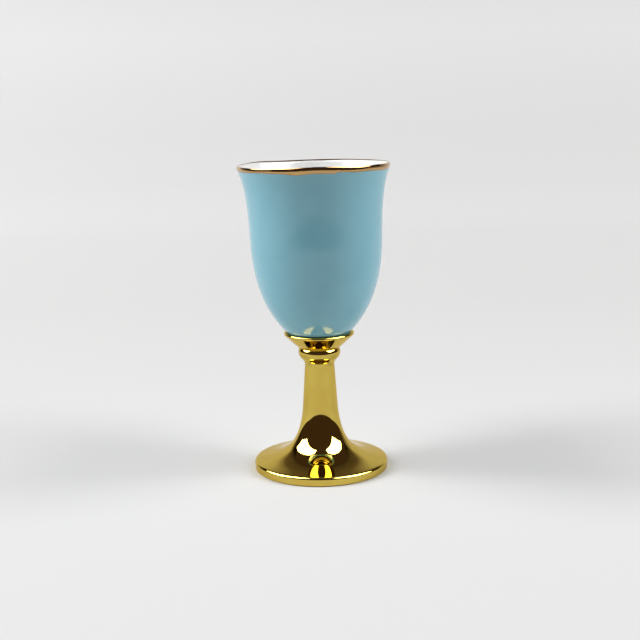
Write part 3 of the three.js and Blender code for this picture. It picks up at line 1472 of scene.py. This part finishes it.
@dataclass
class StemAndFoot:
    """The stem, cast in one piece with its foot, and the felt pad under it.

    Attributes:
        foot_radius: Radius of the foot.
        top: Level of the stem's top.
        pad_radius: Radius of the pad.
        pad_bottom: Level of the pad's underside.
        pad_top: Level of the recess that the pad is stuck in.
        edge: Height of the foot's edge with its shoulder.
        shoulder: Radius of the round over that edge.
        bottom_break: Width of the bevel at the table.
        run: How far in from the shoulder the lead of the foot's slope goes.
        rise: How far up that lead goes.
        rest_width: Width of the ring that stands on the table.
        neck_radius: Radius of the stem's top.
        flare_radius: Radius of the stem where the flare starts.
        flare_level: Level of that place.
        flare_drop: How far down from there the flare's lead goes.
        knee_radius: Radius of the knee between the slope and the flare.
        knee_level: Level of the knee.
        knee_slope: Slope at the knee, in degrees.
        knee_in: Length of the lead that comes up to the knee.
        knee_out: Length of the lead that goes on from it.
        bore_radius: Radius of the hole for the screw.
        bore_floor: Level of that hole's floor.
        core_radius: Radius of the hollow under the foot.
        pin_radius: Radius of the hollow in the stem.
        pin_top: Level of the top of that hollow.
        pad_round: Radius of the pad's lower edge.
        pad_waves: How much wider the pad is round the cup.
        pad_trim: How much smaller than its radius it is cut, on the mean.
        pieces: The finished pieces.
    """

    foot_radius: float
    top: float
    pad_radius: float
    pad_bottom: float
    pad_top: float
    edge: float = 2.4
    shoulder: float = 0.7
    bottom_break: float = 0.25
    run: float = 3.44
    rise: float = 0.728
    rest_width: float = 2.0
    neck_radius: float = 3.89
    flare_radius: float = 4.6
    flare_level: float = 17.0
    flare_drop: float = 7.93
    knee_radius: float = 8.86
    knee_level: float = 5.4
    knee_slope: float = 35.4
    knee_in: float = 3.4
    knee_out: float = 1.51
    bore_radius: float = 1.65
    bore_floor: float = 21.0
    core_radius: float = 9.0
    pin_radius: float = 2.6
    pin_top: float = 12.5
    pad_round: float = 0.3
    pad_waves: Changes = (Wave(13, 5.0, 0.03), Wave(29, 0.0, 0.02), Wave(4, 60.0, 0.04))
    pad_trim: float = 0.09
    pieces: list[bpy.types.Object] = field(default_factory=list)

    def build(self) -> None:
        """Makes and dresses the stem with its foot, and the pad."""
        self.pieces = [self.stem(), self.pad()]

    @property
    def taper(self) -> float:
        """How much wider the stem grows for each millimetre down to the flare."""
        return (self.flare_radius - self.neck_radius) / (self.top - self.flare_level)

    def side(self) -> Floats:
        """The outside, from the table up: edge, round shoulder, slope, knee, flare, taper.

        Returns:
            The points, one in a row.
        """
        slope = math.degrees(math.atan2(self.rise, self.run))
        centre = (self.foot_radius - self.shoulder, self.edge - self.shoulder)
        round_edge = arc(centre, self.shoulder, 0.0, 90.0 - slope)
        foot_top = tuple(round_edge[-1])
        foot_lead = (foot_top[0] - self.run, foot_top[1] + self.rise)
        knee = np.array([self.knee_radius, self.knee_level])
        upward = pointing(180.0 - self.knee_slope)
        flare = (self.flare_radius, self.flare_level)
        flare_lead = (flare[0] + self.taper * self.flare_drop, flare[1] - self.flare_drop)
        return outline(
            [(self.foot_radius - self.bottom_break, 0.0), (self.foot_radius, self.bottom_break)],
            round_edge,
            bend(foot_top, foot_lead, tuple(knee - self.knee_in * upward), tuple(knee)),
            bend(tuple(knee), tuple(knee + self.knee_out * upward), flare_lead, flare),
            [(self.neck_radius, self.top)],
        )

    def stem(self) -> bpy.types.Object:
        """The casting: cored from below, recessed for the pad, bored from above for the screw.

        Returns:
            The piece.
        """
        recess = self.foot_radius - self.rest_width
        corner = (self.pin_radius, self.pad_top)
        pin_start = self.pin_top - self.pin_radius
        points = outline(
            arc((0.0, pin_start), self.pin_radius, 90.0, 0.0),
            bend((self.pin_radius, pin_start), corner, corner, (self.core_radius, self.pad_top)),
            [(recess, self.pad_top), (recess, 0.0)],
            self.side(),
            [(self.bore_radius, self.top), (self.bore_radius, self.bore_floor), (0.0, self.bore_floor)],
        )
        mesh = TurnedSurface.plain(points, Closure.AXIS).mesh("stem_foot")
        return piece(mesh, GoldPlate().material(), "stem")

    def pad(self) -> bpy.types.Object:
        """The pad: a die-cut disc with a pressed lower edge and a slightly uneven outline.

        Returns:
            The piece.
        """
        low = self.pad_bottom + self.pad_round
        points = outline(
            [(0.0, self.pad_bottom)],
            arc((self.pad_radius - self.pad_round, low), self.pad_round, 270.0, 360.0),
            [(self.pad_radius, self.pad_top), (0.0, self.pad_top)],
        )
        plain = TurnedSurface.plain(points, Closure.AXIS)
        uneven = summed(self.pad_waves, round_angles()) - self.pad_trim
        share = plain.radius / self.pad_radius
        surface = TurnedSurface(plain.radius + uneven * share, plain.height, Closure.AXIS)
        return piece(surface.mesh("felt_pad"), PressedFelt().material(), "base_pad")


# The studio


@dataclass(frozen=True)
class SweepPaper:
    """Matt white sweep with painted shade in its colour: dimmer and warmer above and beside the stretch
    that the lamps reach.

    Attributes:
        white: Its colour where it is lit.
        painted_shade_tint: Colour that its painted shade takes on.
        painted_shade_by_height: Share of the light painted into its colour at each height in millimetres.
        painted_shade_by_side: Share of the light painted into its colour at each distance to the right in
            millimetres, in a mirror.
        painted_shade_by_depth: Share of the light painted into its colour at each distance behind the cup
            in millimetres.
        grain: Fine change of its surface.
        roughness: Roughness at the grain's 0 and 1.
    """

    white: float = 0.82
    painted_shade_tint: Colour = (1.0, 0.70, 0.60)
    painted_shade_by_height: tuple[Point, ...] = (
        (0.0, 0.98), (25.0, 0.932), (65.0, 0.92), (100.0, 0.944), (150.0, 1.0), (385.0, 1.0),
        (476.0, 0.9), (577.0, 0.5), (691.0, 0.2), (823.0, 0.15), (980.0, 0.14), (1250.0, 0.08),
    )
    painted_shade_by_side: tuple[Point, ...] = (
        (-1700.0, 0.02), (-980.0, 0.06), (-820.0, 0.25), (-720.0, 0.55), (-640.0, 0.75), (-560.0, 1.0),
        (600.0, 1.0), (750.0, 0.72), (950.0, 0.55), (1300.0, 0.35), (1700.0, 0.15),
    )
    painted_shade_by_depth: tuple[Point, ...] = (
        (-300.0, 0.95), (0.0, 0.95), (110.0, 0.92), (250.0, 0.90), (560.0, 0.935), (900.0, 0.935),
    )
    grain: Grain = Grain(30.0)
    roughness: Point = (0.5, 0.55)

    def shade(self, share: float) -> Colour:
        """The painted shade that a share of the light leaves, tinted by the square of what it lacks."""
        return tuple(share * (1.0 - (1.0 - tint) * (1.0 - share) ** 2) for tint in self.painted_shade_tint)

    def ramp(self, board: Board, place: Value, shares: tuple[Point, ...]) -> bpy.types.NodeSocket:
        """Painted shade along one way.

        Args:
            board: The material's nodes.
            place: Distance along that way in millimetres.
            shares: Share of the light at each distance.

        Returns:
            The painted shade's colour.
        """
        low, high = shares[0][0], shares[-1][0]
        stops = [((at - low) / (high - low), self.shade(share)) for at, share in shares]
        fraction = (place - low) / (high - low)
        return board.add("ShaderNodeValToRGB", {"stops": stops}, {"Fac": fraction}).outputs["Color"]

    def material(self) -> bpy.types.Material:
        """Builds the finish.

        Returns:
            The material.
        """
        material, board = new_material("sweep_paper")
        # Painted shade in the base colour: dimmer and warmer high on the wall, towards the sides and
        # across the table; camera rays skip the side shade.
        rising = self.ramp(board, board.height(), self.painted_shade_by_height)
        painted_shade_by_side = self.ramp(board, board.axis("X"), self.painted_shade_by_side)
        across = board.mix(board.ray("Is Camera Ray"), painted_shade_by_side, UNCHANGED)
        behind = self.ramp(board, board.axis("Y"), self.painted_shade_by_depth)
        share = board.times(board.times(rising, across), behind)
        board.surface({
            "Base Color": board.times(share, (self.white,) * 3),
            "Roughness": board.noise(self.grain).between(*self.roughness),
            "Specular IOR Level": 0.0,
        })
        return material


def heading(azimuth: float, elevation: float) -> Vector:
    """A way one metre long.

    Args:
        azimuth: Degrees from the front, growing to the right.
        elevation: Degrees up.

    Returns:
        The way.
    """
    turn, climb = math.radians(azimuth), math.radians(elevation)
    across = math.cos(climb)
    return Vector((math.sin(turn) * across, -math.cos(turn) * across, math.sin(climb)))


@dataclass(frozen=True)
class Softbox:
    """One soft lamp, aimed at the cup, and the bright face that polished metal mirrors.

    Attributes:
        name: Its name.
        azimuth: Heading of the lamp's middle, in degrees from the front, growing to the right.
        elevation: Degrees above the table.
        width: Width in metres.
        height: Height in metres.
        level: Radiance of its light on the scene.
        corners: Headings of its face's corners, azimuth and elevation, anticlockwise from the cup.
        glare: Radiance of its face in a mirror.
        second_glare: The same in a mirror's mirror.
        distance: From the cup, in metres.
        aim: Level on the cup that it points at, in metres.
    """

    name: str
    azimuth: float
    elevation: float
    width: float
    height: float
    level: float
    corners: tuple[Point, ...]
    glare: float = 15.0
    second_glare: float = 9.5
    distance: float = 1.6
    aim: float = 0.04

    def build(self) -> None:
        """Makes the lamp, and its face for mirrors."""
        self.lamp()
        self.face()

    def place(self, azimuth: float, elevation: float) -> Vector:
        """The place at that heading from the cup."""
        return Vector((0.0, 0.0, self.aim)) + heading(azimuth, elevation) * self.distance

    def lamp(self) -> None:
        """The lamp, which lights matt surfaces and isn't seen itself."""
        lamp = bpy.data.lights.new(self.name, "AREA")
        lamp.shape = "RECTANGLE"
        lamp.size, lamp.size_y = self.width, self.height
        lamp.energy = self.level * math.pi * self.width * self.height
        light = linked(self.name, lamp)
        light.location = self.place(self.azimuth, self.elevation)
        light.rotation_mode = "QUATERNION"
        light.rotation_quaternion = heading(self.azimuth, self.elevation).to_track_quat("Z", "Y")
        light.visible_camera = False
        light.visible_glossy = False

    def face(self) -> None:
        """The lamp's face, which only mirrored rays see, weaker at second hand."""
        places = np.array([self.place(*corner) for corner in self.corners])
        material, board = new_material(self.name + "_face")
        first_hand = board.ray("Diffuse Depth").math("LESS_THAN", NONE_YET)
        twice = board.ray("Glossy Depth").math("GREATER_THAN", MORE_THAN_ONE)
        strength = first_hand.between(self.level, twice.between(self.glare, self.second_glare))
        shine = board.add("ShaderNodeEmission", None, {"Strength": strength})
        board.add("ShaderNodeOutputMaterial", None, {"Surface": shine.outputs[0]})
        card = placed(smooth_mesh(self.name + "_card", places, [list(range(len(self.corners)))]), material)
        card.visible_camera = False
        card.visible_diffuse = False
        card.visible_shadow = False


@dataclass
class Studio:
    """A white sweep under the cup, two soft lamps and a dark room.

    Attributes:
        front: How far the table reaches in front of the cup, in millimetres.
        back: How far behind the cup the sweep starts to rise.
        cove: Radius of that rise.
        wall: Height of the wall's top.
        half_width: Half the sweep's width.
        along_steps: Rows of points along the table.
        across_steps: Faces across the sweep.
        room: Colour of the room in a mirror.
        gloom: Light of the room on the scene.
        pale: Colour past the sweep's edges, as the camera sees it.
        lamps: The lamps.
    """

    front: float = 285.0
    back: float = 560.0
    cove: float = 260.0
    wall: float = 1250.0
    half_width: float = 1700.0
    along_steps: int = 40
    across_steps: int = 48
    room: Colour = (0.062, 0.038, 0.036)
    gloom: Colour = (0.015, 0.015, 0.015)
    pale: Colour = (0.80, 0.80, 0.80)
    lamps: tuple[Softbox, ...] = (
        Softbox(
            name="left_softbox", azimuth=-86.0, elevation=38.0, width=1.15, height=1.20, level=6.5,
            corners=(
                (-117.0, 25.0), (-97.0, 16.0), (-73.0, 20.0),
                (-27.0, 57.0), (-50.0, 69.0), (-105.0, 69.0),
            ),
        ),
        Softbox(
            name="right_softbox", azimuth=82.0, elevation=38.0, width=1.15, height=1.20, level=4.9,
            corners=((59.0, 19.0), (99.0, 20.0), (98.0, 67.0), (48.0, 68.0), (27.0, 55.0)),
        ),
    )

    def build(self) -> None:
        """Makes the sweep, the lamps and the room."""
        self.sweep()
        for lamp in self.lamps:
            lamp.build()
        self.surroundings()

    def sweep(self) -> None:
        """The table, the cove and the wall: one outline from front to top, carried across."""
        table = np.linspace(-self.front, self.back, self.along_steps)
        along = outline(
            np.column_stack([table, np.zeros_like(table)]),
            arc((self.back, self.cove), self.cove, -90.0, 0.0),
            [(self.back + self.cove, self.wall)],
        )
        across = np.linspace(-self.half_width, self.half_width, self.across_steps + 1)
        x, y = np.meshgrid(across, along[:, 0])
        z = np.broadcast_to(along[:, 1:], x.shape)
        points = np.stack([x, y, z], axis=-1)
        index = np.arange(x.size).reshape(x.shape)
        mesh = smooth_mesh("sweep", points.reshape(-1, 3) * MM, grid_faces(index, wrap=False).tolist())
        placed(mesh, SweepPaper().material())

    def surroundings(self) -> None:
        """A dark room all round, which the camera itself sees as a pale ground."""
        world = bpy.data.worlds.new("studio_room")
        world.use_nodes = True
        bpy.context.scene.world = world
        board = Board(world.node_tree)
        mirrored = board.mix(board.ray("Is Glossy Ray"), self.gloom, self.room)
        colour = board.mix(board.ray("Is Camera Ray"), mirrored, self.pale)
        ground = board.add("ShaderNodeBackground", None, {"Color": colour})
        board.add("ShaderNodeOutputWorld", None, {"Surface": ground.outputs[0]})


@dataclass(frozen=True)
class PhotoCamera:
    """The camera at the photograph's place.

    Attributes:
        place: Where it stands, in millimetres.
        target: What it points at, in millimetres.
        roll: Degrees that it is turned clockwise.
        focal_pixels: Focal length in pixels of the photograph's frame.
        frame_pixels: Width of that frame.
        sensor: Width of the sensor in millimetres.
    """

    place: Axes = (0.31, -294.08, 97.385)
    target: Axes = (0.31, 0.0, 39.522)
    roll: float = 1.05
    focal_pixels: float = 1150.0
    frame_pixels: float = 640.0
    sensor: float = 36.0

    def build(self) -> None:
        """Makes the camera and looks through it."""
        lens = bpy.data.cameras.new("photo_camera")
        lens.sensor_width = self.sensor
        lens.lens = self.sensor * self.focal_pixels / self.frame_pixels
        camera = linked("photo_camera", lens)
        place, target = Vector(self.place) * MM, Vector(self.target) * MM
        camera.location = place
        camera.rotation_mode = "QUATERNION"
        level = (target - place).to_track_quat("-Z", "Y")
        camera.rotation_quaternion = level @ Quaternion((0.0, 0.0, 1.0), math.radians(-self.roll))
        bpy.context.scene.camera = camera


@dataclass(frozen=True)
class Extent:
    """Radius and levels of a turned node of the construction, in millimetres.

    Attributes:
        radius: Its largest radius.
        bottom: Its lowest level.
        top: Its highest level.
    """

    radius: float
    bottom: float
    top: float

    @classmethod
    def of(cls, node: str) -> "Extent":
        """Reads a node's box."""
        low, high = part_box(node)
        return cls(high[0] / MM, low[2] / MM, high[2] / MM)


def main() -> None:
    """Builds the cup, the studio and the camera, and reports each piece."""
    logging.basicConfig(level=logging.INFO, format="%(message)s")
    bpy.context.scene.view_settings.view_transform = "Standard"
    glaze, gilt, body = Extent.of("blue_glaze"), Extent.of("gilt_lip"), Extent.of("porcelain_bowl")
    dish, ring, bed = Extent.of("bowl_seat"), Extent.of("knop_ring"), Extent.of("adhesive_bed")
    screw, stem, pad = Extent.of("clamp_screw"), Extent.of("stem"), Extent.of("base_pad")
    form = BowlForm(base=glaze.bottom, lip_top=gilt.top, lip_radius=gilt.radius)
    bowl = Bowl(form=form, ring_bottom=body.bottom)
    foot = StemAndFoot(
        foot_radius=stem.radius, top=stem.top,
        pad_radius=pad.radius, pad_bottom=pad.bottom, pad_top=pad.top,
    )
    seat = Seat(
        bowl=bowl, foot=foot, ring_bottom=ring.bottom, bottom=dish.bottom, top=dish.top,
        cement_bottom=bed.bottom, screw_bottom=screw.bottom, screw_top=screw.top,
    )
    for part in (bowl, seat, foot):
        part.build()
        for thing in part.pieces:
            log.info("%s: %d faces", thing.name, len(thing.data.polygons))
    Studio().build()
    PhotoCamera().build()


if __name__ == "__main__":
    main()
